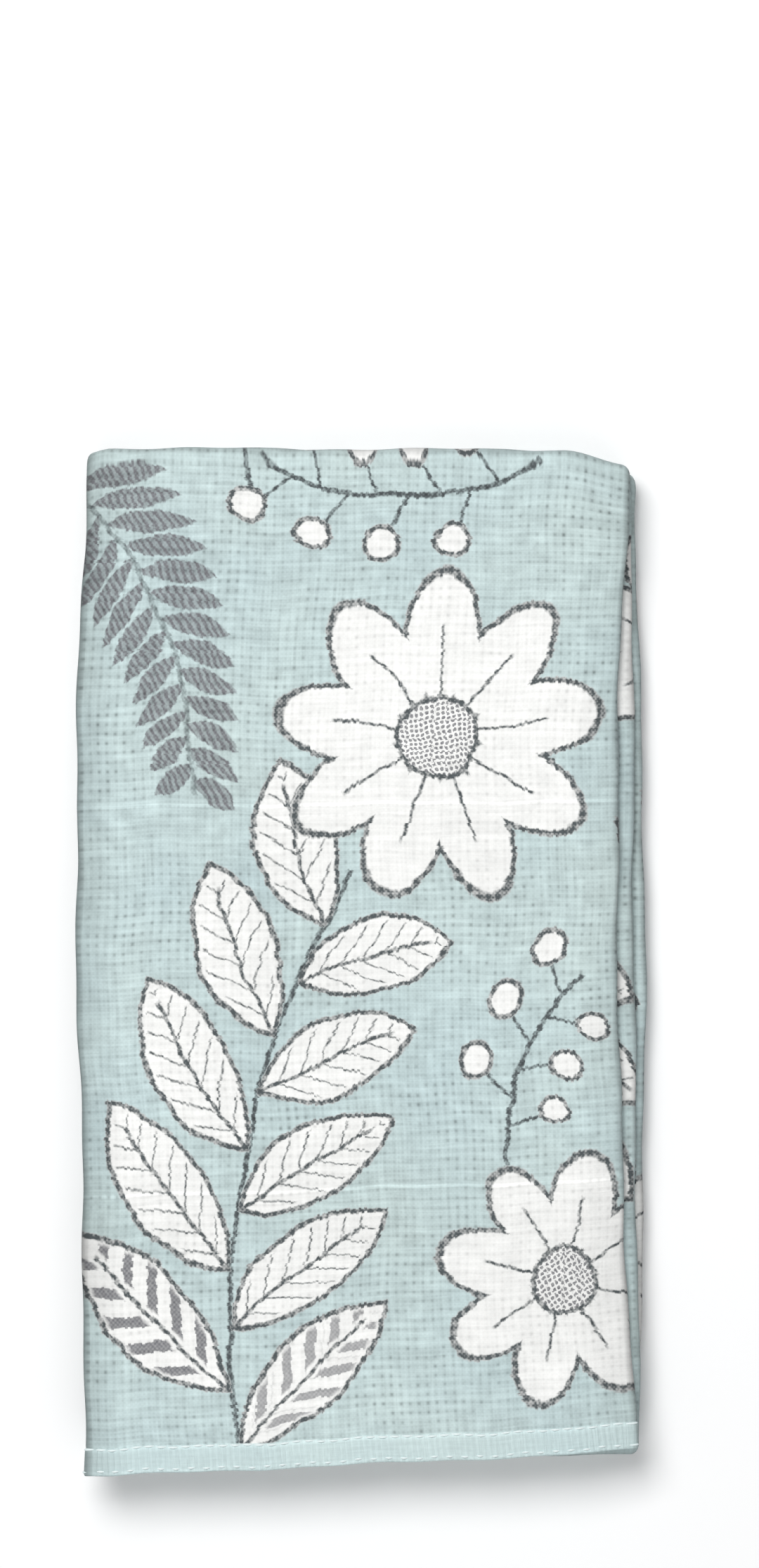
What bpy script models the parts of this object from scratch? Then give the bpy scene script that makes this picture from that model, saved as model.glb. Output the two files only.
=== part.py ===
"""A printed hand towel of open-weave cloth, folded flat and lying on its back.

Metres, +Z up. The printed face looks up, +X is the right of the face and +Y is its top. The origin is the middle of
the underside, on the surface that the towel rests on.

The cloth is one sheet with a hem at each end. Across its width it is folded in three, so that the middle third is the
face: the left third is tucked inside, and the right third wraps round the right side and covers the back. The strip
that this gives is folded back and forth into four layers, with two folds at the top and one at the bottom, so the two
hems lie at the bottom, one in front and one at the back.
"""

import math
from typing import NamedTuple

import bpy
import numpy as np

# The cloth, hemmed
CLOTH_WIDTH = 0.340
PLY = 0.0010
PLY_GAP = 0.00035
LAYER_GAP = 0.00040

# The folded strip, measured between the middles of its two side folds
FACE_RUN = 0.1130

# The hem, a band that is sewn double at each end of the cloth
HEM_DEPTH = 0.0057
HEM_THICKNESS = 0.0013
SEAM_THICKNESS = 0.0008
SEAM_WIDTH = 0.0006
LIP_THICKNESS = 0.0009
LIP_DEPTH = 0.0006
FLARE_LENGTH = 0.046

# The whole stack rolls off towards its sides, from where it starts to fall to where it has fallen
ROLL_RIGHT = (0.0455, 0.0600)
ROLL_LEFT = (-0.0480, -0.0565)
ROLL_DROP = 0.130

# The upper corners are drawn down a little, over a stretch near the top fold and another towards each side
CORNER_RISE = (0.078, 0.1045)

# How finely the sheet is divided: every ply has a column at each of these shares of the face, closer by its sides
PLY_SHARES = (0.0, 0.03, 0.07, 0.20, 0.35, 0.50, 0.65, 0.80, 0.88, 0.94, 1.0)
LEFT_FOLD_STEPS = 5
RIGHT_FOLD_STEPS = 6
RUN_STEPS = 8
TURN_STEPS = 6

CLOTH_COLOUR = (0.56, 0.75, 0.75, 1.0)
CLOTH_ROUGHNESS = 0.92


class Stretch(NamedTuple):
    """A stretch of the cloth's width: shares of the face run, its level in plies, and which way its print looks.

    A flat ply has no steps of its own, because it is divided at the shares that all plies have.
    """

    name: str
    steps: int
    start: float
    end: float
    level: float
    radius: float
    turn_start: float
    turn_end: float


class Line(NamedTuple):
    """A line across the strip where it ends or folds: its place along Y and how much it rises to the right."""

    name: str
    y: float
    slope: float


class Edge(NamedTuple):
    """Where the strip's two side folds lie, at a share of one layer's run."""

    name: str
    layer: int
    share: float
    left: float
    right: float


class Swell(NamedTuple):
    """A soft swelling, or hollow where its height is negative, as a share of the stack's height."""

    name: str
    x: float
    y: float
    reach_x: float
    reach_y: float
    height: float


class Corner(NamedTuple):
    """An upper corner: where it starts to be drawn down, where that is complete, and by how much."""

    name: str
    start: float
    end: float
    drop: float


class HemPoint(NamedTuple):
    """The cloth's thickness at a distance from its end."""

    name: str
    distance: float
    thickness: float


PITCH = PLY + PLY_GAP
LAYER_PITCH = PLY + LAYER_GAP
HEM_EXTRA = HEM_THICKNESS - PLY

# A side third is what the face and the two side folds leave of the cloth's width, halved
FOLD_ARCS = math.pi * PITCH / 2 + math.pi * PITCH
SIDE_SHARE = (CLOTH_WIDTH - FACE_RUN - FOLD_ARCS) / 2 / FACE_RUN

WIDTH_PATH = (
    Stretch("left third, tucked in", 0, SIDE_SHARE, 0.0, 1.0, 0.0, -math.pi, -math.pi),
    Stretch("left fold", LEFT_FOLD_STEPS, 0.0, 0.0, 0.5, 0.5, -math.pi, 0.0),
    Stretch("middle third, the face", 0, 0.0, 1.0, 0.0, 0.0, 0.0, 0.0),
    Stretch("right fold", RIGHT_FOLD_STEPS, 1.0, 1.0, 1.0, 1.0, 0.0, math.pi),
    Stretch("right third, the back", 0, 1.0, 1.0 - SIDE_SHARE, 2.0, 0.0, math.pi, math.pi),
)

LINES = (
    Line("front hem", -0.1061, 0.047),
    Line("front top fold", 0.1030, -0.004),
    Line("bottom fold", -0.1022, 0.020),
    Line("rear top fold", 0.1018, -0.010),
    Line("rear hem", -0.1048, 0.012),
)

EDGES = (
    Edge("front hem", 0, 0.00, -0.0557, 0.0604),
    Edge("front, low", 0, 0.25, -0.0560, 0.0577),
    Edge("front, middle", 0, 0.55, -0.0574, 0.0564),
    Edge("front, high", 0, 0.85, -0.0566, 0.0573),
    Edge("front top fold", 1, 0.00, -0.0551, 0.0590),
    Edge("second layer, middle", 1, 0.50, -0.0558, 0.0600),
    Edge("bottom fold", 2, 0.00, -0.0546, 0.0612),
    Edge("third layer, middle", 2, 0.50, -0.0543, 0.0626),
    Edge("rear top fold", 3, 0.00, -0.0540, 0.0606),
    Edge("rear layer, middle", 3, 0.50, -0.0552, 0.0619),
    Edge("rear hem", 3, 1.00, -0.0548, 0.0600),
)

HEM_PROFILE = (
    HemPoint("lip", 0.0, LIP_THICKNESS),
    HemPoint("band", LIP_DEPTH, HEM_THICKNESS),
    HemPoint("band at the seam", HEM_DEPTH - SEAM_WIDTH, HEM_THICKNESS),
    HemPoint("seam", HEM_DEPTH, SEAM_THICKNESS),
    HemPoint("plain cloth", HEM_DEPTH + SEAM_WIDTH, PLY),
)

SWELLS = (
    Swell("full middle", 0.004, 0.010, 0.050, 0.085, 0.045),
    Swell("slack above the hem", -0.020, -0.078, 0.034, 0.022, -0.022),
    Swell("lift at the lower right", 0.034, -0.062, 0.026, 0.030, 0.020),
    Swell("hollow at the upper left", -0.036, 0.060, 0.026, 0.034, -0.018),
    Swell("puffed front top fold", 0.022, 0.092, 0.036, 0.022, 0.018),
    Swell("dent by the right side", 0.046, 0.034, 0.016, 0.030, -0.024),
)

CORNERS = (
    Corner("upper right", 0.0450, 0.0600, 0.0030),
    Corner("upper left", -0.0500, -0.0583, 0.0016),
)


def clear_scene():
    """Removes every object that is in the scene."""
    for item in list(bpy.data.objects):
        bpy.data.objects.remove(item, do_unlink=True)


def smooth_step(value):
    """Rises from 0 to 1 with level ends, and stays level outside that span."""
    bounded = np.clip(value, 0.0, 1.0)
    return bounded * bounded * (3.0 - 2.0 * bounded)


def curve_through(at, knots, values):
    """A smooth curve through the values at the knots: a cubic between each two, with the slopes of its neighbours."""
    slopes = np.gradient(values, knots)
    index = np.clip(np.searchsorted(knots, at, side="right") - 1, 0, len(knots) - 2)
    span = knots[index + 1] - knots[index]
    t = (at - knots[index]) / span
    ease = t * t * (3.0 - 2.0 * t)
    leave = t * (1.0 - t) * (1.0 - t) * span * slopes[index]
    arrive = t * t * (t - 1.0) * span * slopes[index + 1]
    return values[index] * (1.0 - ease) + values[index + 1] * ease + leave + arrive


def level_heights():
    """The height of the face ply's middle in each layer, from the front one down, with no hem under it."""
    strip = 2.0 * PITCH
    rear = PLY / 2.0
    third = rear + strip + LAYER_PITCH + strip
    second = third + LAYER_PITCH
    front = second + strip + LAYER_PITCH + strip
    return front, second, third, rear


def width_columns():
    """One row for each column of the sheet: share of the face run, level, fold radius and the print's direction."""
    columns = []
    for stretch in WIDTH_PATH:
        if stretch.steps:
            # The flat plies on both sides hold the fold's two ends
            for t in np.linspace(0.0, 1.0, stretch.steps + 1)[1:-1]:
                turn = stretch.turn_start + (stretch.turn_end - stretch.turn_start) * t
                columns.append((stretch.start, stretch.level, stretch.radius, turn))
            continue
        low = min(stretch.start, stretch.end)
        high = max(stretch.start, stretch.end)
        shares = sorted({low, high} | {share for share in PLY_SHARES if low < share < high})
        for share in shares if stretch.end > stretch.start else shares[::-1]:
            columns.append((share, stretch.level, stretch.radius, stretch.turn_start))
    return np.array(columns)


def run_shares(layer):
    """The shares of one layer's run where the sheet is divided, closer together over a hem."""
    run = abs(LINES[layer + 1].y - LINES[layer].y)
    hem = np.array([point.distance for point in HEM_PROFILE]) / run
    if layer == 0:
        return np.concatenate([hem, np.linspace(hem[-1], 1.0, RUN_STEPS + 1)[1:]])
    if layer == len(LINES) - 2:
        return np.concatenate([np.linspace(0.0, 1.0 - hem[-1], RUN_STEPS + 1)[:-1], 1.0 - hem[::-1]])
    return np.linspace(0.0, 1.0, RUN_STEPS + 1)


def length_rows():
    """One row for each line across the strip: its layer, its share of the run, and its turn about the fold."""
    rows = []
    last = len(LINES) - 2
    for layer in range(last + 1):
        for share in run_shares(layer):
            rows.append((layer, share, 0.0))
        if layer < last:
            for step in range(1, TURN_STEPS):
                rows.append((layer, 1.0, math.pi * step / TURN_STEPS))
    return np.array(rows)


def stack_height_share(x, y):
    """What the height of the stack is multiplied by at a point: its swellings, and the fall towards the sides."""
    share = np.ones_like(x)
    for swell in SWELLS:
        away_x = (x - swell.x) / swell.reach_x
        away_y = (y - swell.y) / swell.reach_y
        share += swell.height * np.exp(-away_x * away_x - away_y * away_y)
    for start, end in (ROLL_RIGHT, ROLL_LEFT):
        share -= ROLL_DROP * smooth_step((x - start) / (end - start))
    return share


def corner_fall(x, y):
    """How far a point is drawn down along Y for lying near an upper corner."""
    near_top = smooth_step((y - CORNER_RISE[0]) / (CORNER_RISE[1] - CORNER_RISE[0]))
    fall = np.zeros_like(x)
    for corner in CORNERS:
        fall += corner.drop * smooth_step((x - corner.start) / (corner.end - corner.start))
    return fall * near_top


def cloth_skin(columns, rows, side):
    """The points of the printed skin (side 1) or of the reverse skin (side -1), by column and row.

    In the strip's own section a point lies at its fold's radius, plus or minus half the cloth, from the middle of
    that fold, and a level is a ply's pitch. Along the strip the levels run straight down through a layer, and like
    spokes about the middle of a fold.
    """
    share, level, radius, print_turn = (columns[:, k, None] for k in range(4))
    layer = rows[:, 0].astype(int)
    along = rows[:, 1]
    turn = rows[:, 2]

    # Where each row lies along the cloth, for the hem and the side folds
    ends = np.array([line.y for line in LINES])
    run = np.abs(np.diff(ends))[layer]
    from_front = np.where(layer == 0, along * run, np.inf)
    from_rear = np.where(layer == len(LINES) - 2, (1.0 - along) * run, np.inf)
    distances = [point.distance for point in HEM_PROFILE]
    thicknesses = [point.thickness for point in HEM_PROFILE]
    cloth = np.interp(np.minimum(from_front, from_rear), distances, thicknesses)
    station = layer + along
    knots = np.array([edge.layer + edge.share for edge in EDGES])
    left = curve_through(station, knots, np.array([edge.left for edge in EDGES]))
    right = curve_through(station, knots, np.array([edge.right for edge in EDGES]))

    # The plies stand further apart over a hem
    flare = smooth_step(1.0 - np.minimum(from_front, from_rear) / FLARE_LENGTH)
    pitch = PITCH + HEM_EXTRA * flare

    # The strip's own section: across it, and down through its levels
    left_middle = left + pitch / 2.0 + PLY / 2.0
    right_middle = right - pitch - PLY / 2.0
    reach = radius * pitch + side * cloth / 2.0
    x = left_middle + (right_middle - left_middle) * share + reach * np.sin(print_turn)
    depth = level * pitch - reach * np.cos(print_turn)

    # The line of the section along the strip, and the middle of the fold that it turns about
    y_of = np.array(ends)[:, None, None] + np.array([line.slope for line in LINES])[:, None, None] * x
    row = np.arange(len(rows))
    column = np.arange(len(columns))[:, None]
    y_line = y_of[layer, column, row] * (1.0 - along) + y_of[layer + 1, column, row] * along
    heights = np.array(level_heights())
    face_up = np.where(layer % 2 == 0, 1.0, -1.0)
    below = heights[np.minimum(layer + 1, len(heights) - 1)]
    middle = (heights[layer] + below) / 2.0
    face_radius = (heights[layer] - below) / 2.0
    arm = np.where(turn > 0.0, face_radius - face_up * depth, 0.0)
    y = y_line + face_up * arm * np.sin(turn)
    z = np.where(turn > 0.0, middle + arm * np.cos(turn), heights[layer] - face_up * depth)

    # The hems lift what lies on them
    rear_lift = 3.0 * HEM_EXTRA * smooth_step((ends[-1] + FLARE_LENGTH - y) / FLARE_LENGTH)
    own_lift = np.where(layer == 0, 2.5, 0.0) * HEM_EXTRA * flare
    own_lift = own_lift + np.where(layer == len(LINES) - 2, (cloth - PLY) / 2.0, 0.0)
    on_rear_layer = (layer == len(LINES) - 2) | ((layer == len(LINES) - 3) & (turn > 0.0))
    z = z + own_lift + np.where(on_rear_layer, 0.0, rear_lift)
    z = z * stack_height_share(x, y)
    return np.stack([x, y - corner_fall(x, y), z], axis=-1)


def sheet_faces(columns, rows):
    """The faces of the two skins and of the rim that joins them, all looking outwards."""
    printed = np.arange(columns * rows).reshape(columns, rows)
    reverse = printed + columns * rows
    faces = []
    for upper, lower in ((printed, None), (None, reverse)):
        grid = upper if lower is None else lower
        corners = [grid[:-1, :-1], grid[1:, :-1], grid[1:, 1:], grid[:-1, 1:]]
        faces.append(np.stack(corners if lower is None else corners[::-1], axis=-1).reshape(-1, 4))
    hems = ((printed[:, 0], reverse[:, 0]), (reverse[:, -1], printed[:, -1]))
    for outer, inner in hems:
        faces.append(np.stack([outer[:-1], inner[:-1], inner[1:], outer[1:]], axis=-1))
    selvedges = ((printed[0], reverse[0]), (reverse[-1], printed[-1]))
    for outer, inner in selvedges:
        faces.append(np.stack([outer[:-1], outer[1:], inner[1:], inner[:-1]], axis=-1))
    return np.concatenate(faces)


def cloth_material():
    """Pale aqua cotton and linen, matt."""
    material = bpy.data.materials.new("printed_cloth")
    material.use_nodes = True
    shader = material.node_tree.nodes["Principled BSDF"]
    shader.inputs["Base Color"].default_value = CLOTH_COLOUR
    shader.inputs["Roughness"].default_value = CLOTH_ROUGHNESS
    shader.inputs["Metallic"].default_value = 0.0
    return material


def make_towel():
    """The towel as one solid, with the middle of its underside at the origin."""
    columns = width_columns()
    rows = length_rows()
    skins = [cloth_skin(columns, rows, side).reshape(-1, 3) for side in (1.0, -1.0)]
    points = np.concatenate(skins)
    low = points.min(axis=0)
    high = points.max(axis=0)
    points -= [(low[0] + high[0]) / 2.0, (low[1] + high[1]) / 2.0, 0.0]
    mesh = bpy.data.meshes.new("towel")
    mesh.from_pydata(points.tolist(), [], sheet_faces(len(columns), len(rows)).tolist())
    mesh.shade_smooth()
    mesh.set_sharp_from_angle(angle=math.radians(60.0))
    mesh.materials.append(cloth_material())
    towel = bpy.data.objects.new("towel", mesh)
    bpy.context.scene.collection.objects.link(towel)
    return towel


clear_scene()
make_towel()
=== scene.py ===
"""The looks of a folded, printed hand towel: open-weave cloth, its print, its hems and their stitching.

Metres, +Z up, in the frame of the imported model. The cloth is one sheet worked out on a grid of its own width and
length, and carried along the same folds as the solid that it replaces.
"""

import logging
import math
from dataclasses import dataclass, field
from enum import Enum
from typing import Any, NamedTuple

import bpy
import numpy as np
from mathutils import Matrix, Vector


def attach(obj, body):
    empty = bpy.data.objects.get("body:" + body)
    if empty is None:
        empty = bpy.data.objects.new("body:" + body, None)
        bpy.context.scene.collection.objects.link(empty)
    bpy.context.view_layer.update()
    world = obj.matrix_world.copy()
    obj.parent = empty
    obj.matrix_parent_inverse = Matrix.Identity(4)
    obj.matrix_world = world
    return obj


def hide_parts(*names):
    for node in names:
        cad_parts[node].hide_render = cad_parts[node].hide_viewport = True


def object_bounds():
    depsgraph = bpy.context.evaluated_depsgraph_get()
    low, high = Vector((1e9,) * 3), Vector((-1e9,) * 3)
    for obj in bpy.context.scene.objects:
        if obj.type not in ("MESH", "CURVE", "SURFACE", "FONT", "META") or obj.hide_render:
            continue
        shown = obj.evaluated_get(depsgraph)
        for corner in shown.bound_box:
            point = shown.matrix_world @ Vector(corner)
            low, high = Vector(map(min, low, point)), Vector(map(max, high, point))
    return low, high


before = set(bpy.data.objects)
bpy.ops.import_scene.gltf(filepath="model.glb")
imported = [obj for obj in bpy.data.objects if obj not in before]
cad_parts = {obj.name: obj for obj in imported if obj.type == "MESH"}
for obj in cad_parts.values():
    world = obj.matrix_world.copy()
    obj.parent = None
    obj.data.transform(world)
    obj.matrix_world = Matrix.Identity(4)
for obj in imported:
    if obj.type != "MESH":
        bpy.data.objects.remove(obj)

CAD_BOX = [list(corner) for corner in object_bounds()]

log = logging.getLogger("towel")

TOWEL_NODE = "towel"

# The height of the photograph's frame in pixels, and the size of one of them on the towel's face
PHOTO_HEIGHT = 2231
PIXEL = 0.000147


class Skin(Enum):
    """The two sides of the cloth, by the way in which each lies off its middle."""

    PRINTED = 1.0
    REVERSE = -1.0


class Line(NamedTuple):
    """A line across the strip where it ends or folds: its place along Y and how much it rises to the right."""

    name: str
    y: float
    slope: float


class Edge(NamedTuple):
    """Where the strip's two side folds lie, at a share of one layer's run."""

    name: str
    layer: int
    share: float
    left: float
    right: float


class HemPoint(NamedTuple):
    """The cloth's thickness at a distance from its end."""

    name: str
    distance: float
    thickness: float


LINES = (
    Line("front hem", -0.1061, 0.047),
    Line("front top fold", 0.1030, -0.004),
    Line("bottom fold", -0.1022, 0.020),
    Line("rear top fold", 0.1018, -0.010),
    Line("rear hem", -0.1048, 0.012),
)

EDGES = (
    Edge("front hem", 0, 0.00, -0.0557, 0.0604),
    Edge("front, low", 0, 0.25, -0.0560, 0.0577),
    Edge("front, middle", 0, 0.55, -0.0574, 0.0564),
    Edge("front, high", 0, 0.85, -0.0566, 0.0573),
    Edge("front top fold", 1, 0.00, -0.0551, 0.0590),
    Edge("second layer, middle", 1, 0.50, -0.0558, 0.0600),
    Edge("bottom fold", 2, 0.00, -0.0546, 0.0612),
    Edge("third layer, middle", 2, 0.50, -0.0543, 0.0626),
    Edge("rear top fold", 3, 0.00, -0.0540, 0.0606),
    Edge("rear layer, middle", 3, 0.50, -0.0552, 0.0619),
    Edge("rear hem", 3, 1.00, -0.0548, 0.0600),
)

class Corner(NamedTuple):
    """An upper corner: where it starts to be drawn down, where that is complete, and by how much."""

    name: str
    start: float
    end: float
    drop: float


class Wave(NamedTuple):
    """Shallow waves of the towel's sides and ends: heights, lengths, and how the phase drifts up the stack."""

    name: str
    side_height: float
    side_length: float
    end_height: float
    end_length: float
    drift: float


class Crease(NamedTuple):
    """A soft swelling, ridge, trough or hollow, as a share of the stack's height, drawn out along a turned line."""

    name: str
    x: float
    y: float
    turn: float
    reach_along: float
    reach_across: float
    height: float


CORNERS = (
    Corner("upper right", 0.0450, 0.0600, 0.0030),
    Corner("upper left", -0.0500, -0.0583, 0.0016),
)

WAVES = (
    Wave("long", 0.00030, 0.061, 0.00022, 0.047, 400.0),
    Wave("short", 0.00014, 0.023, 0.00012, 0.016, 680.0),
)

CREASES = (
    Crease("full middle", 0.004, 0.010, 0.0, 0.050, 0.085, 0.045),
    Crease("slack above the hem", -0.020, -0.078, 0.0, 0.034, 0.022, -0.022),
    Crease("lift at the lower right", 0.034, -0.062, 0.0, 0.026, 0.030, 0.020),
    Crease("hollow at the upper left", -0.036, 0.060, 0.0, 0.026, 0.034, -0.018),
    Crease("puffed front top fold", 0.022, 0.092, 0.0, 0.036, 0.022, 0.018),
    Crease("dent by the right side", 0.046, 0.034, 0.0, 0.016, 0.030, -0.024),
    Crease("upper pressed line", 0.000, 0.0322, 0.0, 0.160, 0.0011, 0.012),
    Crease("under the upper pressed line", 0.000, 0.0290, 0.0, 0.160, 0.0030, -0.010),
    Crease("lower pressed line", 0.000, -0.0484, 0.4, 0.160, 0.0011, 0.012),
    Crease("under the lower pressed line", 0.000, -0.0518, 0.4, 0.160, 0.0030, -0.010),
    Crease("trough inside the right side", 0.043, 0.020, 88.0, 0.060, 0.0045, -0.022),
    Crease("ridge inside the right side", 0.036, -0.012, 86.0, 0.070, 0.0050, 0.014),
    Crease("trough below the top fold", -0.010, 0.0955, -1.0, 0.045, 0.0034, -0.016),
    Crease("slant from the upper left corner", -0.040, 0.080, -52.0, 0.026, 0.0042, -0.018),
    Crease("slant from the upper right corner", 0.042, 0.078, 47.0, 0.024, 0.0040, -0.020),
    Crease("long ridge left of the middle", -0.026, -0.020, 82.0, 0.050, 0.0070, 0.012),
    Crease("long trough at the left side", -0.047, -0.030, 90.0, 0.060, 0.0040, -0.016),
    Crease("drag above the hem, left", -0.040, -0.090, 24.0, 0.018, 0.0034, -0.018),
    Crease("drag above the hem, middle", 0.004, -0.088, -16.0, 0.022, 0.0040, -0.016),
    Crease("drag above the hem, right", 0.038, -0.086, 30.0, 0.018, 0.0036, -0.018),
    Crease("shallow dip over the middle", 0.006, -0.010, 12.0, 0.036, 0.0120, -0.014),
)


def smooth_step(value: np.ndarray) -> np.ndarray:
    """Rises from 0 to 1 as three times the square less twice the cube, and stays level outside that span."""
    bounded = np.clip(value, 0.0, 1.0)
    return bounded * bounded * (3.0 - 2.0 * bounded)


def curve_through(at: np.ndarray, knots: np.ndarray, values: np.ndarray) -> np.ndarray:
    """A smooth curve through values at knots.

    Between each two knots it is the cubic that has their values and the slopes worked out from their neighbours.

    Args:
        at: where the curve is read.
        knots: rising places of the known values.
        values: the known values.

    Returns:
        The curve's value at each place.
    """
    slopes = np.gradient(values, knots)
    index = np.clip(np.searchsorted(knots, at, side="right") - 1, 0, len(knots) - 2)
    span = knots[index + 1] - knots[index]
    t = (at - knots[index]) / span
    ease = t * t * (3.0 - 2.0 * t)
    leave = t * (1.0 - t) * (1.0 - t) * span * slopes[index]
    arrive = t * t * (t - 1.0) * span * slopes[index + 1]
    return values[index] * (1.0 - ease) + values[index + 1] * ease + leave + arrive


@dataclass(frozen=True)
class FoldedSheet:
    """The cloth's sizes, and the folds that carry a point of the flat cloth to its place in the towel."""

    width: float = 0.340
    ply: float = 0.0010
    ply_gap: float = 0.00035
    layer_gap: float = 0.00040
    face_run: float = 0.1130
    hem_depth: float = 0.0057
    hem_thickness: float = 0.0013
    seam_thickness: float = 0.0008
    seam_width: float = 0.0006
    lip_thickness: float = 0.0009
    lip_depth: float = 0.0006
    lip_rounding: float = 0.93
    hems_under_front: float = 2.5
    hems_at_rear: float = 3.0
    flare_length: float = 0.046
    roll_right: tuple[float, float] = (0.0455, 0.0600)
    roll_left: tuple[float, float] = (-0.0480, -0.0565)
    roll_drop: float = 0.130
    corner_rise: tuple[float, float] = (0.078, 0.1045)
    centre: tuple[float, float] = (0.00262, -0.00081)

    @property
    def pitch(self) -> float:
        """From one ply of the strip to the next."""
        return self.ply + self.ply_gap

    @property
    def hem_extra(self) -> float:
        """How much thicker the hem is than the cloth."""
        return self.hem_thickness - self.ply

    @property
    def width_knots(self) -> np.ndarray:
        """Distances across the cloth where its side folds begin and end, from one woven edge to the other."""
        left_arc = math.pi * self.pitch / 2.0
        right_arc = math.pi * self.pitch
        side = (self.width - self.face_run - left_arc - right_arc) / 2.0
        return np.cumsum([0.0, side, left_arc, self.face_run, right_arc, side])

    @property
    def length_knots(self) -> np.ndarray:
        """Distances along the cloth where its layers and the folds between them begin and end."""
        arc = math.pi * (self.pitch + (self.ply + self.layer_gap) / 2.0)
        steps = [0.0]
        for here, there in zip(LINES[:-1], LINES[1:]):
            steps += [abs(there.y - here.y), arc]
        return np.cumsum(steps[:-1])

    @property
    def length(self) -> float:
        """The cloth's hemmed length."""
        return float(self.length_knots[-1])

    @property
    def hem_profile(self) -> tuple[HemPoint, ...]:
        """How thick the cloth is, from its end inwards."""
        return (
            HemPoint("lip", 0.0, self.lip_thickness),
            HemPoint("rounded lip", self.lip_depth / 2.0, self.hem_thickness * self.lip_rounding),
            HemPoint("band", self.lip_depth, self.hem_thickness),
            HemPoint("band at the seam", self.hem_depth - self.seam_width, self.hem_thickness),
            HemPoint("seam", self.hem_depth, self.seam_thickness),
            HemPoint("plain cloth", self.hem_depth + self.seam_width, self.ply),
        )

    def face_heights(self) -> np.ndarray:
        """The height of the face ply's middle in each layer, from the front one down, with no hem under it."""
        strip = 2.0 * self.pitch
        step = self.ply + self.layer_gap
        rear = self.ply / 2.0
        third = rear + strip + step + strip
        second = third + step
        return np.array([second + strip + step + strip, second, third, rear])

    def height_share(self, x: np.ndarray, y: np.ndarray) -> np.ndarray:
        """What the stack's height is multiplied by at a point.

        It is 1 plus a bell for each crease, less a smooth step down towards each side.

        Args:
            x: places across the towel, before it is centred.
            y: places along the towel, before it is centred.

        Returns:
            The share for each point.
        """
        share = np.ones_like(x)
        for crease in CREASES:
            turn = math.radians(crease.turn)
            ahead = (x - crease.x) * math.cos(turn) + (y - crease.y) * math.sin(turn)
            aside = (y - crease.y) * math.cos(turn) - (x - crease.x) * math.sin(turn)
            bell = -((ahead / crease.reach_along) ** 2) - (aside / crease.reach_across) ** 2
            share += crease.height * np.exp(bell)
        for start, end in (self.roll_right, self.roll_left):
            share -= self.roll_drop * smooth_step((x - start) / (end - start))
        return share

    def place(self, across: np.ndarray, along: np.ndarray, side: float, proud: float = 0.0) -> np.ndarray:
        """Carries points of the flat cloth to their places in the folded towel.

        Across its width the cloth runs straight through three plies and round two half circles between them. Along
        its length that strip runs straight through four layers, and turns about the middle of each fold like spokes.

        Args:
            across: distances from the woven edge that is tucked inside.
            along: distances from the front hem's end.
            side: 1 for the printed skin, -1 for the reverse skin and 0 for the cloth's middle.
            proud: how far the points stand off that skin.

        Returns:
            An array of points, with x, y and z last.
        """
        knots = self.width_knots
        side_share = float(knots[1]) / self.face_run
        share = np.interp(across, knots, [side_share, 0.0, 0.0, 1.0, 1.0, 1.0 - side_share])
        print_turn = np.interp(across, knots, [-math.pi, -math.pi, 0.0, 0.0, math.pi, math.pi])
        bend = np.where(across < (knots[2] + knots[3]) / 2.0, 0.5, 1.0)

        steps = self.length_knots
        last = len(LINES) - 2
        stretch = np.clip(np.searchsorted(steps, along, side="right") - 1, 0, len(steps) - 2)
        layer = stretch // 2
        part = np.clip((along - steps[stretch]) / (steps[stretch + 1] - steps[stretch]), 0.0, 1.0)
        turning = stretch % 2 == 1
        share_along = np.where(turning, 1.0, part)
        turn = np.where(turning, part * math.pi, 0.0)

        end_distance = np.minimum(along, steps[-1] - along)
        cloth = np.interp(
            end_distance,
            [point.distance for point in self.hem_profile],
            [point.thickness for point in self.hem_profile],
        )
        station = layer + share_along
        edge_knots = np.array([edge.layer + edge.share for edge in EDGES])
        left = curve_through(station, edge_knots, np.array([edge.left for edge in EDGES]))
        right = curve_through(station, edge_knots, np.array([edge.right for edge in EDGES]))
        flare = smooth_step(1.0 - end_distance / self.flare_length)
        pitch = self.pitch + self.hem_extra * flare

        left_middle = left + pitch / 2.0 + self.ply / 2.0
        right_middle = right - pitch - self.ply / 2.0
        reach = bend * pitch + side * cloth / 2.0 + math.copysign(proud, side)
        x = left_middle + (right_middle - left_middle) * share + reach * np.sin(print_turn)
        depth = bend * pitch - reach * np.cos(print_turn)

        ends = np.array([line.y for line in LINES])
        slopes = np.array([line.slope for line in LINES])
        start_y = ends[layer] + slopes[layer] * x
        end_y = ends[layer + 1] + slopes[layer + 1] * x
        heights = self.face_heights()
        below = heights[np.minimum(layer + 1, last)]
        face_up = np.where(layer % 2 == 0, 1.0, -1.0)
        middle = (heights[layer] + below) / 2.0
        arm = np.where(turning, (heights[layer] - below) / 2.0 - face_up * depth, 0.0)
        y = start_y * (1.0 - share_along) + end_y * share_along + face_up * arm * np.sin(turn)
        z = np.where(turning, middle + arm * np.cos(turn), heights[layer] - face_up * depth)

        over_rear = smooth_step((ends[-1] + self.flare_length - y) / self.flare_length)
        rear_lift = self.hems_at_rear * self.hem_extra * over_rear
        own_lift = np.where(layer == 0, self.hems_under_front, 0.0) * self.hem_extra * flare
        own_lift = own_lift + np.where(layer == last, (cloth - self.ply) / 2.0, 0.0)
        on_rear_layer = (layer == last) | ((layer == last - 1) & turning)
        z = z + own_lift + np.where(on_rear_layer, 0.0, rear_lift)
        z = z * self.height_share(x, y)
        x, y = self.unevenness(x, y, z)
        return np.stack([x - self.centre[0], y - self.centre[1], z], axis=-1)

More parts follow.
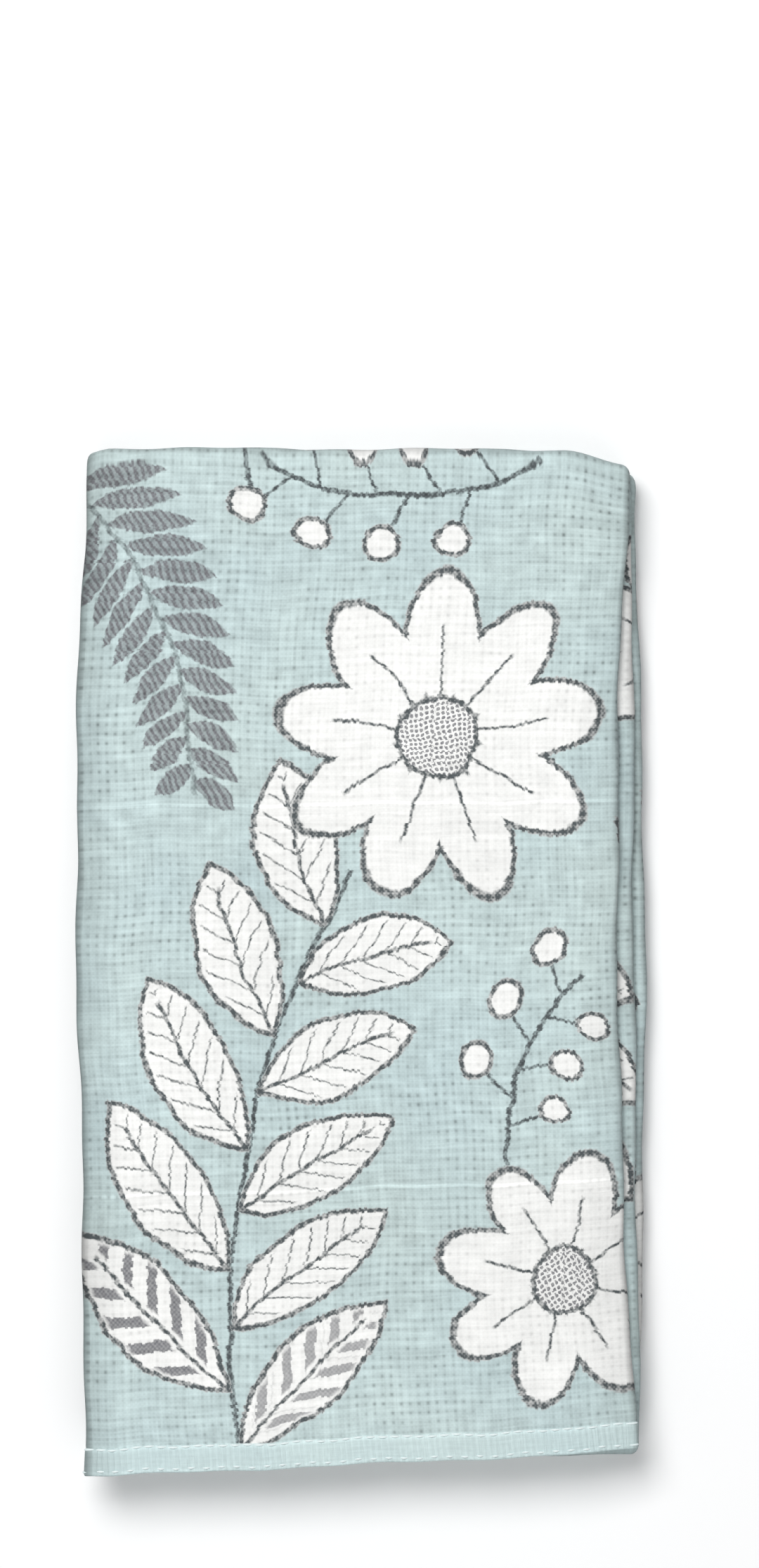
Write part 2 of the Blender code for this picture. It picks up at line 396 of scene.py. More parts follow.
    def unevenness(self, x: np.ndarray, y: np.ndarray, z: np.ndarray) -> tuple[np.ndarray, np.ndarray]:
        """Moves points level with the floor, so that no edge of the towel is quite straight.

        The upper corners are drawn down by smooth steps. Two sine waves of fixed length, whose phase drifts with
        height, then shift each layer's sides and ends by fractions of a millimetre.

        Args:
            x: places across the towel.
            y: places along it.
            z: heights.

        Returns:
            The moved x and y.
        """
        start, end = self.corner_rise
        fall = np.zeros_like(x)
        for corner in CORNERS:
            fall += corner.drop * smooth_step((x - corner.start) / (corner.end - corner.start))
        fall *= smooth_step((y - start) / (end - start))
        sideways, endways = np.zeros_like(x), np.zeros_like(x)
        for wave in WAVES:
            sideways += wave.side_height * np.sin(math.tau * y / wave.side_length + wave.drift * z)
            endways += wave.end_height * np.sin(math.tau * x / wave.end_length + wave.drift * z)
        return x + sideways, y - fall + endways


class Build:
    """Puts arrays into Blender meshes."""

    @staticmethod
    def mesh(name: str, points: np.ndarray, faces: np.ndarray) -> bpy.types.Object:
        """Makes an object at the origin from points and four-cornered faces.

        Args:
            name: the object's name.
            points: one row of x, y and z for each vertex.
            faces: one row of vertex numbers for each face.

        Returns:
            The linked object, shaded smooth.
        """
        count = len(faces)
        mesh = bpy.data.meshes.new(name)
        mesh.vertices.add(len(points))
        mesh.vertices.foreach_set("co", points.astype(np.float32).ravel())
        mesh.loops.add(count * 4)
        mesh.loops.foreach_set("vertex_index", faces.astype(np.int32).ravel())
        mesh.polygons.add(count)
        mesh.polygons.foreach_set("loop_start", np.arange(0, count * 4, 4, dtype=np.int32))
        mesh.update(calc_edges=True)
        mesh.validate()
        mesh.shade_smooth()
        made = bpy.data.objects.new(name, mesh)
        bpy.context.scene.collection.objects.link(made)
        return made

    @staticmethod
    def grid_faces(columns: int, rows: int) -> np.ndarray:
        """Faces of a grid whose points are numbered column by column."""
        numbers = np.arange(columns * rows).reshape(columns, rows)
        corners = [numbers[:-1, :-1], numbers[1:, :-1], numbers[1:, 1:], numbers[:-1, 1:]]
        return np.stack(corners, axis=-1).reshape(-1, 4)


class Value:
    """A number socket of a node tree, so that shader maths reads as an expression."""

    def __init__(self, nodes: "Nodes", socket: Any) -> None:
        """Wraps a socket, or a plain number."""
        self.nodes = nodes
        self.socket = socket

    def _math(self, operation: str, *others: Any, clamp: bool = False) -> "Value":
        """Adds a Math node with this value first."""
        settings = {"operation": operation, "use_clamp": clamp}
        return self.nodes.value("ShaderNodeMath", settings, dict(enumerate([self, *others])))

    def __add__(self, other: Any) -> "Value":
        """This plus the other."""
        return self._math("ADD", other)

    __radd__ = __add__

    def __sub__(self, other: Any) -> "Value":
        """This less the other."""
        return self._math("SUBTRACT", other)

    def __rsub__(self, other: Any) -> "Value":
        """The other less this."""
        return Value(self.nodes, other)._math("SUBTRACT", self)

    def __mul__(self, other: Any) -> "Value":
        """This times the other."""
        return self._math("MULTIPLY", other)

    __rmul__ = __mul__

    def __truediv__(self, other: Any) -> "Value":
        """This over the other."""
        return self._math("DIVIDE", other)

    def __abs__(self) -> "Value":
        """The size of this without its sign."""
        return self._math("ABSOLUTE")

    def sin(self) -> "Value":
        """Its sine."""
        return self._math("SINE")

    def cos(self) -> "Value":
        """Its cosine."""
        return self._math("COSINE")

    def floor(self) -> "Value":
        """The whole number below it."""
        return self._math("FLOOR")

    def sign(self) -> "Value":
        """1 or -1, as it is above or below 0."""
        return self._math("SIGN")

    def least(self, other: Any) -> "Value":
        """The lower of this and the other."""
        return self._math("MINIMUM", other)

    def most(self, other: Any) -> "Value":
        """The higher of this and the other."""
        return self._math("MAXIMUM", other)

    def wrapped(self, low: float, high: float) -> "Value":
        """This brought between two limits by whole steps."""
        return self._math("WRAP", high, low)

    def turn_of(self, x: Any) -> "Value":
        """The angle of the point with this as its height and x as its reach."""
        return self._math("ARCTAN2", x)

    def clamped(self) -> "Value":
        """This kept between 0 and 1."""
        return self._math("ADD", 0.0, clamp=True)

    def below(self, limit: Any, soft: float) -> "Value":
        """1 well under the limit, 0 well over it, with a straight slope of the given width between."""
        return ((limit - self) / soft)._math("ADD", 0.5, clamp=True)

    def above(self, limit: Any, soft: float) -> "Value":
        """1 well over the limit, 0 well under it."""
        return ((self - limit) / soft)._math("ADD", 0.5, clamp=True)


class Nodes:
    """A material's node tree, with one way to add a node."""

    def __init__(self, name: str) -> None:
        """Makes a material with an empty tree."""
        self.material = bpy.data.materials.new(name)
        self.material.use_nodes = True
        self.tree = self.material.node_tree
        self.tree.nodes.clear()

    def add(self, kind: str, settings: dict[str, Any], values: dict[Any, Any], output: Any = 0) -> Any:
        """Adds a node, with its settings first and then its sockets' values or links.

        Args:
            kind: the node's type.
            settings: properties of the node.
            values: a value, a Value or a socket for each input, by number or name.
            output: the number or name of the socket that is returned.

        Returns:
            The chosen output socket, or None for a node that has none.
        """
        node = self.tree.nodes.new(kind)
        for name, setting in settings.items():
            setattr(node, name, setting)
        for name, value in values.items():
            source = value.socket if isinstance(value, Value) else value
            if isinstance(source, bpy.types.NodeSocket):
                self.tree.links.new(source, node.inputs[name])
            else:
                node.inputs[name].default_value = source
        return node.outputs[output] if node.outputs else None

    def finish(self, values: dict[Any, Any]) -> bpy.types.Material:
        """Joins one cloth or paint shader to the output, and gives the material."""
        shader = self.add("ShaderNodeBsdfPrincipled", {}, values)
        self.add("ShaderNodeOutputMaterial", {}, {"Surface": shader})
        return self.material

    def value(self, kind: str, settings: dict[str, Any], values: dict[Any, Any], output: Any = 0) -> Value:
        """Adds a node and wraps its number output."""
        return Value(self, self.add(kind, settings, values, output))

    def mix(self, share: Any, low: Any, high: Any) -> Any:
        """A colour between two, by a share."""
        settings = {"data_type": "RGBA", "blend_type": "MIX", "clamp_factor": True}
        return self.add("ShaderNodeMix", settings, {0: share, 6: low, 7: high}, 2)

    def tint(self, colour: Any, by: Any) -> Any:
        """A colour made lighter or darker by a number, through Vector Math."""
        return self.add("ShaderNodeVectorMath", {"operation": "SCALE"}, {0: colour, "Scale": by})

    def vector(self, x: Any, y: Any, z: Any = 0.0) -> Any:
        """A vector from three numbers."""
        return self.add("ShaderNodeCombineXYZ", {}, {0: x, 1: y, 2: z})

    def length(self, x: Any, y: Any) -> Value:
        """The length of a vector from its two numbers."""
        return self.value("ShaderNodeVectorMath", {"operation": "LENGTH"}, {0: self.vector(x, y)}, 1)

    def noise(self, vector: Any, scale: float, detail: float = 2.0, rough: float = 0.5) -> Value:
        """Soft noise from 0 to 1."""
        values = {"Vector": vector, "Scale": scale, "Detail": detail, "Roughness": rough}
        return self.value("ShaderNodeTexNoise", {"noise_dimensions": "3D"}, values, 0)

    def chance(self, number: Any) -> Value:
        """A fixed chance value for each whole number."""
        return self.value("ShaderNodeTexWhiteNoise", {"noise_dimensions": "1D"}, {"W": number}, 0)


@dataclass(frozen=True)
class Dyes:
    """The print's colours and the cloth's roughness."""

    ground_cool: tuple[float, float, float, float] = (0.448, 0.560, 0.577, 1.0)
    ground_warm: tuple[float, float, float, float] = (0.537, 0.636, 0.618, 1.0)
    white: tuple[float, float, float, float] = (0.830, 0.830, 0.812, 1.0)
    line: tuple[float, float, float, float] = (0.078, 0.092, 0.097, 1.0)
    grey: tuple[float, float, float, float] = (0.160, 0.161, 0.174, 1.0)
    reverse: tuple[float, float, float, float] = (0.600, 0.715, 0.710, 1.0)
    thread: tuple[float, float, float, float] = (0.760, 0.850, 0.850, 1.0)
    roughness: float = 0.92
    thread_roughness: float = 0.8


@dataclass
class Ink:
    """Shares of white, of charcoal line and of hatched grey at a point of the print."""

    white: Value
    line: Value
    grey: Value

    def under(self, cover: Value, white: Any, line: Any, grey: Any) -> "Ink":
        """This print with another motif laid over it wherever that one covers."""
        left = 1 - cover
        return Ink(self.white * left + white, (self.line * left).most(line), self.grey * left + grey)


@dataclass(frozen=True)
class Placed:
    """Where a motif lies in the repeat, in millimetres from the middle of the towel's face and from its hem."""

    x: float
    y: float
    turn: float = 0.0


class Growth(Enum):
    """What grows on a sprig's stem."""

    LEAVES = "white leaves with veins, some of them brushed with grey"
    BERRIES = "berries on stalks"
    FROND = "narrow hatched leaves"


@dataclass(frozen=True)
class Sprig:
    """A bowed stem with leaves or berries on both sides."""

    at: Placed
    radius: float
    pitch: float
    lean: float
    count: int
    length: float
    half_width: float
    shrink: float
    kind: Growth


@dataclass(frozen=True)
class Daisy:
    """A flower of equal petals round a dotted middle."""

    at: Placed
    petals: int
    inner: float
    outer: float
    half_width: float
    middle: float


SPRIGS = (
    Sprig(Placed(-40.0, 176.0, -66.0), 90.0, 5.8, 56.0, 13, 20.0, 2.2, 0.8, Growth.FROND),
    Sprig(Placed(80.0, 122.0, 98.0), 110.0, 19.0, 50.0, 5, 31.0, 6.6, 1.5, Growth.LEAVES),
    Sprig(Placed(-21.0, 72.0, 76.0), 180.0, 25.0, 47.0, 5, 46.0, 8.8, 2.6, Growth.LEAVES),
    Sprig(Placed(2.0, 203.0, 172.0), 60.0, 13.0, 62.0, 4, 11.0, 0.0, 0.0, Growth.BERRIES),
    Sprig(Placed(41.0, 90.0, 58.0), 50.0, 12.0, 62.0, 3, 10.5, 0.0, 0.0, Growth.BERRIES),
)

DAISIES = (
    Daisy(Placed(20.0, 152.0, 10.0), 9, 8.0, 36.0, 8.4, 8.4),
    Daisy(Placed(45.0, 37.0, 30.0), 8, 6.0, 28.0, 7.2, 6.6),
)


class Noise(NamedTuple):
    """Chance unevenness that swings softly about 0 over the flat cloth, and how far it is drawn out each way."""

    seed: float
    scale: float
    detail: float = 2.0
    rough: float = 0.5
    long_x: float = 1.0
    long_y: float = 1.0


# The sway of the drawing hand, then the cloth's own unevenness, from broad clouds down to single threads
SWAY_ACROSS = Noise(0.0, 75.0)
SWAY_ALONG = Noise(3.0, 75.0)
CLOUD = Noise(21.0, 14.0)
BEND = Noise(0.0, 22.0, 1.0)
DYE_PATCH = Noise(11.0, 30.0, 3.0)
OPEN_PATCH = Noise(7.0, 48.0)
BLOTCH = Noise(31.0, 250.0, 1.0)
GRAIN = Noise(5.0, 1150.0, 2.0, 0.6)
WEFT = Noise(1.0, 1000.0, 2.0, 0.6, 9.0, 0.7)
WARP = Noise(2.0, 1000.0, 2.0, 0.6, 0.65, 9.0)


class PressedLine(NamedTuple):
    """A light line across the cloth, a painted highlight along a pressed crease, in millimetres from the hem, and
    how much lighter and uneven it is.
    """

    name: str
    place: float
    half_width: float
    light: float
    uneven: float


class PaintedFoldShade(NamedTuple):
    """Painted shade at a fold of the cloth, where it rounds away from the light: how dark along its line, how soft
    that is, and beside it.
    """

    name: str
    bend: int
    line: float
    soft: float
    beside: float


# Painted highlights along the pressed creases
PRESSED_LINES = (
    PressedLine("upper", 138.3, 0.34, 0.18, 0.30),
    PressedLine("beside the upper", 136.0, 0.24, 0.07, 0.25),
    PressedLine("lower", 57.7, 0.34, 0.18, 0.30),
    PressedLine("beside the lower", 55.4, 0.24, 0.07, 0.25),
)

# Painted shade along the side folds, deeper and wider at the left than at the right
SIDE_FOLD_PAINTED_SHADE = (
    PaintedFoldShade("left", 1, 1.4, 1.5, 0.62),
    PaintedFoldShade("right", 3, 1.05, 1.5, 0.22),
)

# Painted shade along the end folds
END_FOLD_PAINTED_SHADE = (
    PaintedFoldShade("front top", 1, 0.9, 1.6, 0.0),
    PaintedFoldShade("bottom", 3, 0.9, 1.6, 0.0),
    PaintedFoldShade("rear top", 5, 0.9, 1.6, 0.0),
)


@dataclass(frozen=True)
class Pen:
    """What the print is drawn with: millimetres, with finer lines given as shares of the full line."""

    line: float = 1.02
    soft: float = 0.34
    rib: float = 0.8
    stalk: float = 0.7
    vein: float = 0.6
    vein_step: float = 5.2
    vein_slant: float = 1.1
    brush: float = 3.0
    brush_step: float = 7.4
    hatch_step: float = 1.6
    seed_step: float = 2.1
    berry: float = 3.8
    sway: float = 3.2
    thread_x: float = 0.60
    thread_y: float = 0.68
    skip_x: float = 0.55
    skip_y: float = 0.45


@dataclass(frozen=True)
class Tones:
    """By how much each feature lightens the cloth, as a share of its colour, and how well the cloth takes ink."""

    weft_band: float = 0.070
    warp_band: float = 0.050
    fine_mesh: float = 0.030
    fine_mesh_in_patch: float = 0.012
    bands_in_white: float = 0.5
    # painted shade of the plies below, seen through the weave's openings
    hole_shade: float = 0.06
    hole_shade_in_patch: float = 0.30
    blotch: float = 0.42
    weft: float = 0.42
    warp: float = 0.30
    less_in_white: float = 0.55
    grain: float = 0.14
    cloud: float = 0.28
    hem: float = 0.14
    hem_weft: float = 0.30
    hem_rib: float = 0.036
    hem_border: float = 0.16
    # painted highlight along the hem's rolled lip
    hem_lip_highlight: float = 0.12
    hem_lip_highlight_grain: float = 0.5
    # painted shade along the folds
    fold: float = 0.44
    ink: float = 0.86
    ink_mesh: float = 0.13
    ink_beads: float = 0.14
    ink_threads: float = 0.9
    grey: float = 0.95
    grey_grain: float = 0.5
    grey_beads: float = 0.10
    dye_patch: float = 1.3
    seen_through: float = 0.22


@dataclass
class Weave:
    """The weave at a point: openings, bands of threads, a finer mesh, and chance swings of threads and grain."""

    holes: Value
    wefts: Value
    warps: Value
    mesh: Value
    beads: Value
    fine: Value
    weft: Value
    warp: Value
    grain: Value
    ribs: Value


@dataclass
class PrintedCloth:
    """The cloth's material: weave, print and hems, all worked out from its own flat coordinates."""

    sheet: FoldedSheet
    dyes: Dyes = field(default_factory=Dyes)
    pen: Pen = field(default_factory=Pen)
    tones: Tones = field(default_factory=Tones)
    repeat_x: float = 170.0
    repeat_y: float = 215.0
    mesh_x: float = 1.88
    mesh_y: float = 1.97
    bend_x: float = 2.4
    bend_y: float = 3.0
    rib_step: float = 1.25
    hem_border: float = 5.3
    bump: float = 0.55
    bump_depth: float = 0.00022

    def __post_init__(self) -> None:
        """Starts the node tree and reads the flat coordinates in millimetres."""
        self.nodes = Nodes("printed cloth")
        flat = self.nodes.add("ShaderNodeUVMap", {"uv_map": "cloth"}, {})
        knots = self.sheet.width_knots
        across = self.nodes.value("ShaderNodeSeparateXYZ", {}, {0: flat}, "X")
        self.x = across * 1000.0 - 500.0 * float(knots[2] + knots[3])
        self.y = self.nodes.value("ShaderNodeSeparateXYZ", {}, {0: flat}, "Y") * 1000.0
        side = self.nodes.add("ShaderNodeAttribute", {"attribute_name": "printed"}, {}, "Fac")
        self.side = Value(self.nodes, side)

    def uneven(self, noise: Noise, x: Value, y: Value) -> Value:
        """The noise at a place of the flat cloth."""
        place = self.nodes.vector(x / (1000.0 * noise.long_x), y / (1000.0 * noise.long_y), noise.seed)
        return self.nodes.noise(place, noise.scale, noise.detail, noise.rough) - 0.5

    def local(self, at: Placed, x: Value, y: Value) -> tuple[Value, Value]:
        """A motif's own coordinates: the repeat brought to its place and turned."""
        near_x = (x - at.x).wrapped(-self.repeat_x / 2.0, self.repeat_x / 2.0)
        near_y = (y - at.y).wrapped(-self.repeat_y / 2.0, self.repeat_y / 2.0)
        turn = math.radians(at.turn)
        ahead = near_x * math.cos(turn) + near_y * math.sin(turn)
        aside = near_y * math.cos(turn) - near_x * math.sin(turn)
        return ahead, aside

    def stroke(self, distance: Value, share: float = 1.0) -> Value:
        """1 on a drawn line and 0 off it, for a share of the full line's width."""
        return abs(distance).below(self.pen.line * share / 2.0, self.pen.soft)

    def sprig(self, below: Ink, motif: Sprig, x: Value, y: Value) -> Ink:
        """Lays a sprig over the print.

        The stem is an arc. Each point is told by its distance along the arc and off it, and a slanted step along the
        arc finds the leaf that it belongs to. A leaf is what two equal circles share, and a berry is a circle.

        Args:
            below: the print so far.
            motif: the sprig.
            x: distance across, with the hand's unsteadiness.
            y: distance along, likewise.

        Returns:
            The print with the sprig on it.
        """
        pen = self.pen
        ahead, aside = self.local(motif.at, x, y)
        centre_off = aside + motif.radius
        reach = self.nodes.length(ahead, centre_off)
        along = ahead.turn_of(centre_off) * motif.radius + motif.count * motif.pitch / 2.0
        off = reach - motif.radius
        away = abs(off)
        lean = math.radians(motif.lean)
        slanted = along - away / math.tan(lean) - off.sign() * motif.pitch * 0.25
        index = (slanted / motif.pitch + 0.5).floor()
        own = slanted - index * motif.pitch
        shown = index.above(-0.5, 0.1) * index.below(motif.count - 0.5, 0.1)
        leaf_x = own * math.cos(lean) + away / math.sin(lean)
        leaf_y = own * math.sin(lean)
        stem_end = (motif.count - 0.2) * motif.pitch
        stem = self.stroke(off) * along.above(-motif.pitch, 0.4) * along.below(stem_end, 0.4)
        if motif.kind is Growth.BERRIES:
            edge = self.nodes.length(leaf_x - motif.length, leaf_y) - pen.berry
            stalk = self.stroke(leaf_y, pen.stalk) * leaf_x.below(motif.length - pen.berry, 0.3) * shown
            stem = stem.most(stalk)
        else:
            half = (motif.length - index * motif.shrink) / 2.0
            radius = (half * half + motif.half_width**2) / (2.0 * motif.half_width)
            edge = self.nodes.length(leaf_x - half, abs(leaf_y) + radius - motif.half_width) - radius
        inside = edge.below(0.0, pen.soft) * shown
        cover = inside.most(stem)
        if motif.kind is Growth.FROND:
            hatch = 0.62 + 0.38 * ((x + y * 0.6) * (math.tau / pen.hatch_step)).sin().above(0.0, 1.2)
            return below.under(cover, 0.0, stem * 0.6, inside * hatch)
        outline = self.stroke(edge + pen.line / 2.0) * shown
        if motif.kind is Growth.BERRIES:
            return below.under(cover, inside, outline.most(stem), 0.0)
        rib = self.stroke(leaf_y, pen.rib) * inside * leaf_x.below(half * 1.7, 1.0)
        slant = leaf_x - abs(leaf_y) * pen.vein_slant
        brushed = self.nodes.chance(index + motif.at.x + off.sign() * 40.0).above(0.45, 0.1)
        vein = self.stroke(slant.wrapped(-pen.vein_step / 2.0, pen.vein_step / 2.0), pen.vein)
        veins = vein * edge.below(-1.8, 0.4) * shown * (1 - brushed)
        brush = abs(slant.wrapped(-pen.brush_step / 2.0, pen.brush_step / 2.0)).below(pen.brush / 2.0, pen.soft)
        brush = brush * edge.below(-1.5, 0.9) * shown * brushed
        brush = brush * abs(leaf_y).above(1.3, 0.6) * leaf_x.above(5.0, 1.0)
        lines = outline.most(rib).most(veins * 0.8).most(stem * (1 - inside))
        return below.under(cover, inside, lines, brush * 0.92)

    def daisy(self, below: Ink, motif: Daisy, x: Value, y: Value) -> Ink:
        """Lays a flower over the print.

        The angle round its middle is brought into one petal's share, where the petal is an ellipse.

        Args:
            below: the print so far.
            motif: the flower.
            x: distance across, with the hand's unsteadiness.
            y: distance along, likewise.

        Returns:
            The print with the flower on it.
        """
        pen = self.pen
        ahead, aside = self.local(motif.at, x, y)
        reach = self.nodes.length(ahead, aside)
        step = math.tau / motif.petals
        angle = aside.turn_of(ahead)
        own = angle - (angle / step + 0.5).floor() * step
        middle = (motif.inner + motif.outer) / 2.0 - 1.0
        half_length = motif.outer - middle
        petal_x = reach * own.cos() - middle
        petal_y = reach * own.sin()
        edge = (self.nodes.length(petal_x / half_length, petal_y / motif.half_width) - 1.0) * motif.half_width
        petal = edge.below(0.0, pen.soft)
        disc = (reach - motif.middle).below(0.0, pen.soft)
        outline = self.stroke(edge + pen.line / 2.0) * (1 - disc)
        crease = self.stroke(petal_y, pen.vein) * petal_x.below(half_length * 0.15, 1.0) * petal * (1 - disc)
        ring = self.stroke(reach - motif.middle)
        dots = (ahead * (math.tau / pen.seed_step)).sin() * (aside * (math.tau / pen.seed_step)).sin()
        seeds = abs(dots).above(0.45, 0.3) * disc
        cover = petal.most(disc)
        return below.under(cover, cover, outline.most(crease).most(ring), seeds * 0.9)

    def drawing(self) -> Ink:
        """The whole print, drawn by an unsteady hand on threads that it can't follow."""
        pen = self.pen
        weft = self.nodes.chance((self.y / pen.thread_y).floor()) - 0.5
        warp = self.nodes.chance((self.x / pen.thread_x).floor() + 5000.0) - 0.5
        x = self.x + self.uneven(SWAY_ACROSS, self.x, self.y) * pen.sway + weft * pen.skip_x
        y = self.y + self.uneven(SWAY_ALONG, self.y, self.x) * pen.sway + warp * pen.skip_y
        bare = Value(self.nodes, 0.0)
        ink = Ink(bare, bare, bare)
        for sprig in SPRIGS:
            ink = self.sprig(ink, sprig, x, y)
        for daisy in DAISIES:
            ink = self.daisy(ink, daisy, x, y)
        return ink

    def weave(self) -> Weave:
        """The weave, from a cosine each way over a mesh whose threads bend a little.

        An opening is where both cosines are high, and the bands between openings are threads. Each opening and each
        band has its own chance strength. The finer mesh is the same cosines at half the spacing.

        Returns:
            The weave at the point.
        """
        x, y, chance = self.x, self.y, self.nodes.chance
        bend = self.uneven(BEND, x, y)
        turn_x = (x + bend * self.bend_x) * (math.tau / self.mesh_x)
        turn_y = (y + bend * self.bend_y) * (math.tau / self.mesh_y)
        mesh_x, mesh_y = turn_x.cos(), turn_y.cos()
        near_x, near_y = 0.5 + 0.5 * mesh_x, 0.5 + 0.5 * mesh_y
        cell = (turn_x / math.tau + 0.5).floor() * 17.0 + (turn_y / math.tau + 0.5).floor() * 401.0
        fine_x, fine_y = (turn_x * 2.0).cos(), (turn_y * 2.0).cos()
        beads = fine_x * fine_y
        warp = self.uneven(WARP, x, y)
        return Weave(
            holes=(near_x * near_x) * (near_y * near_y) * (0.15 + 1.10 * chance(cell)),
            wefts=(1 - near_y) * (1 - near_y) * (0.5 + chance((turn_y / math.tau).floor() + 900.0)),
            warps=(1 - near_x) * (1 - near_x) * (0.5 + chance((turn_x / math.tau).floor() + 300.0)),
            mesh=mesh_x + mesh_y,
            beads=beads,
            fine=beads + fine_x + fine_y,
            weft=self.uneven(WEFT, x, y),
            warp=warp,
            grain=self.uneven(GRAIN, x, y),
            ribs=(x * (math.tau / self.rib_step) + warp * 7.0).cos() + warp * 3.0,
        )

    def weave_light(self, weave: Weave, white: Value) -> Value:
        """How far the weave lightens the cloth, less where it is printed white, with painted shade of the plies
        below seen through its openings.

        Args:
            weave: the weave.
            white: the share of white print.

        Returns:
            A share of the cloth's colour.
        """
        tones = self.tones
        patch = self.uneven(OPEN_PATCH, self.x, self.y).above(0.0, 0.30)
        fine = weave.fine * (tones.fine_mesh - tones.fine_mesh_in_patch * patch) + tones.fine_mesh
        bands = weave.wefts * tones.weft_band + weave.warps * tones.warp_band - fine
        blotch = self.uneven(BLOTCH, self.x, self.y) * tones.blotch
        mottle = blotch + weave.weft * tones.weft + weave.warp * tones.warp
        # Painted shade: the openings are darkened as if the plies below them were in shade
        openings = weave.holes * (tones.hole_shade + tones.hole_shade_in_patch * patch)
        return bands * (1 - tones.bands_in_white * white) + (mottle - openings) * (1 - tones.less_in_white * white)

    def hem_light(self, weave: Weave, hem: Value, from_end: Value) -> Value:
        """How far the hem is lighter than the cloth: over its band, with its ribs, along its seam, and at its lip,
        where a painted highlight runs along the rolled edge.

        Args:
            weave: the weave.
            hem: 1 on the hem.
            from_end: the distance from the cloth's nearer end.

        Returns:
            A share of the cloth's colour.
        """
        tones = self.tones
        band = tones.hem + weave.ribs * tones.hem_rib + weave.weft * tones.hem_weft
        border = abs(from_end - self.hem_border).below(0.40, 0.5) * tones.hem_border
        # Painted highlight along the hem's rolled lip
        lip = from_end.below(0.9, 0.9) * (tones.hem_lip_highlight + weave.grain * tones.hem_lip_highlight_grain)
        return hem * band + border + lip

    def painted_crease_highlight(self, weave: Weave) -> Value:
        """How far the pressed lines are lighter than the cloth, unevenly by its threads: a painted highlight along
        the creases.
        """
        light = Value(self.nodes, 0.0)
        for line in PRESSED_LINES:
            band = abs(self.y - line.place).below(line.half_width, 0.3)
            light = light + band * (line.light + weave.weft * line.uneven)
        return light

    def painted_fold_shade(self) -> Value:
        """Painted shade along the folds, where the cloth rounds away from the light: how much the colour is darkened
        there.

        Returns:
            The highest along the line of each fold, falling to 0 over the cloth beside it.
        """
        across, along = self.sheet.width_knots, self.sheet.length_knots
        face = float(across[2] + across[3])
        painted_shade = Value(self.nodes, 0.0)
        for folds, place, knots, shift in ((SIDE_FOLD_PAINTED_SHADE, self.x, across, face), (END_FOLD_PAINTED_SHADE, self.y, along, 0.0)):
            for fold in folds:
                away = abs(place - 500.0 * (float(knots[fold.bend] + knots[fold.bend + 1]) - shift))
                painted_shade = painted_shade.most(away.below(1.2, fold.soft) * fold.line)
                painted_shade = painted_shade.most(away.below(4.5, 9.0) * fold.beside)
        return painted_shade

    def finished(self) -> bpy.types.Material:
        """Joins weave, print and hems in one cloth shader.

        Returns:
            The material.
        """
        nodes, tones, dyes = self.nodes, self.tones, self.dyes
        x, y = self.x, self.y
        length = self.sheet.length * 1000.0
        from_end = y.least(length - y)
        hem = from_end.below(self.sheet.hem_depth * 1000.0, 0.3)
        plain = 1 - hem
        weave = self.weave()
        ink = self.drawing()
        threads = tones.ink_threads * (weave.weft + weave.warp)
        taken = tones.ink + tones.ink_mesh * weave.mesh + tones.ink_beads * weave.beads + threads
        white = (ink.white * plain).clamped()
        line = (ink.line * plain * taken).clamped()
        grey_taken = tones.grey + tones.grey_grain * weave.grain + tones.grey_beads * weave.beads
        grey = (ink.grey * plain * grey_taken).clamped()
        patch = (0.5 + self.uneven(DYE_PATCH, x, y) * tones.dye_patch).clamped()
        dyed = nodes.mix(white, nodes.mix(patch, dyes.ground_cool, dyes.ground_warm), dyes.white)
        dyed = nodes.mix(line, nodes.mix(grey, dyed, dyes.grey), dyes.line)
        behind = nodes.mix(tones.seen_through * (line + white).clamped(), dyes.reverse, dyed)
        light = 1.0 + weave.grain * tones.grain + self.uneven(CLOUD, x, y) * tones.cloud
        # The pressed lines add a painted highlight along the creases
        light = light + (self.weave_light(weave, white) + self.painted_crease_highlight(weave)) * plain
        light = light + self.hem_light(weave, hem, from_end)
        # Painted shade: the colour is darkened along the folds, where the cloth rounds away from the light
        light = light * (1 - tones.fold * self.painted_fold_shade())
        colour = nodes.tint(nodes.mix(self.side, behind, dyed), light)
        height = weave.weft * 0.9 + weave.warp * 0.5 + (1 - weave.holes) * 0.5 + weave.ribs * hem * 0.5
        relief = {"Strength": self.bump, "Distance": self.bump_depth, "Height": height}
        bump = nodes.add("ShaderNodeBump", {"invert": False}, relief)
        return nodes.finish({"Base Color": colour, "Roughness": dyes.roughness, "Normal": bump})


def plain_material(name: str, colour: tuple[float, float, float, float], roughness: float) -> bpy.types.Material:
    """A material of one colour."""
    return Nodes(name).finish({"Base Color": colour, "Roughness": roughness})


class Patch(NamedTuple):
    """A stretch of the cloth, in metres across and along it, and its share of the texture, by two corners."""

    name: str
    skin: Skin
    across: tuple[float, float]
    along: tuple[float, float]
    share: tuple[float, float, float, float]


